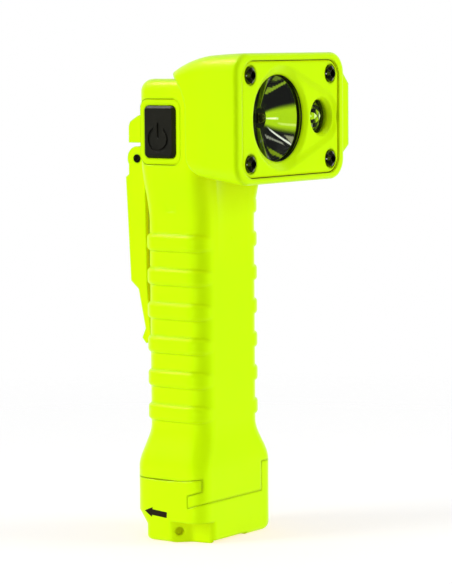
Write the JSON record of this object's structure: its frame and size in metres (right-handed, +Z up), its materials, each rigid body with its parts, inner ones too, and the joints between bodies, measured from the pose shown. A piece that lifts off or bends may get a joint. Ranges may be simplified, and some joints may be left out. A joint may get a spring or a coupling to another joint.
{
  "type": "right-angle safety flashlight",
  "caption": "Handheld right-angle safety flashlight with tilting twin-lamp head, ribbed grip, side push button, back spring clip and slide-off battery cap.",
  "frame": {"origin": "centre of the battery cap's flat base", "axes": "+Z up the grip, the beams point along -Y, the power button is on the -X side"},
  "size_m": [0.0717, 0.0662, 0.174],
  "materials": {
    "hi_vis_plastic": "satin, moulded",
    "clear_window": "clear, polished",
    "reflector_chrome": "vacuum metallised",
    "black_rubber": "matt",
    "button_rubber": "satin",
    "black_screw": "gloss black",
    "steel": "ground",
    "spring_steel": "drawn",
    "brass": "bright",
    "board": "solder mask",
    "led": "phosphor",
    "aluminium": "stamped",
    "liner_plastic": "moulded",
    "cell_jacket": "shrink sleeve",
    "acetal": "moulded",
    "wire_red": "insulation"
  },
  "bodies": {
    "grip": {"grip_body": "hi_vis_plastic", "cell_liner": "liner_plastic", "contact_board": "board", "top_contacts": "brass", "switch_plate": "hi_vis_plastic", "switch_dome": "steel", "switch_board": "board", "pivot_bush": "acetal", "pivot_cap": "hi_vis_plastic", "clip_bracket": "hi_vis_plastic", "clip_pin": "steel", "clip_spring": "spring_steel", "clip_screws": "steel", "grip_leads": "wire_red", "switch_lead": "wire_red", "aa_cell_left_lower": "cell_jacket", "aa_cell_left_upper": "cell_jacket", "aa_cell_right_lower": "cell_jacket", "aa_cell_right_upper": "cell_jacket"},
    "head": {"head_housing": "hi_vis_plastic", "bezel": "hi_vis_plastic", "bezel_gasket": "black_rubber", "bezel_screws": "black_screw", "main_window": "clear_window", "main_window_seal": "black_rubber", "main_reflector": "reflector_chrome", "main_led_board": "board", "main_led_emitter": "led", "spot_window": "clear_window", "spot_trim_ring": "black_rubber", "spot_reflector": "reflector_chrome", "spot_led_board": "board", "heat_sink": "aluminium", "driver_board": "board", "pivot_bolt": "steel", "friction_washers": "acetal", "head_leads": "wire_red"},
    "button": {"power_button": "button_rubber"},
    "clip": {"clip_lever": "hi_vis_plastic"},
    "cap": {"battery_cap": "hi_vis_plastic", "cap_contact_springs": "spring_steel", "cap_contact_plate": "spring_steel", "cap_seal": "black_rubber"}
  },
  "joints": [
    {"name": "head_tilt", "type": "hinge", "parent": "grip", "child": "head", "pos_m": [0, 0, 0.148], "axis": [-1, 0, 0], "range_deg": [0, 90]},
    {"name": "button_press", "type": "slide", "parent": "grip", "child": "button", "axis": [1, 0, 0], "range_m": [0, 0.0007], "stiffness_N_per_m": 900},
    {"name": "clip_open", "type": "hinge", "parent": "grip", "child": "clip", "pos_m": [0, 0.0196, 0.1363], "axis": [1, 0, 0], "range_deg": [0, 20], "stiffness_Nm_per_rad": 0.15},
    {"name": "cap_slide", "type": "slide", "parent": "grip", "child": "cap", "axis": [0, 0.9496, -0.3134], "range_m": [0, 0.008]}
  ]
}
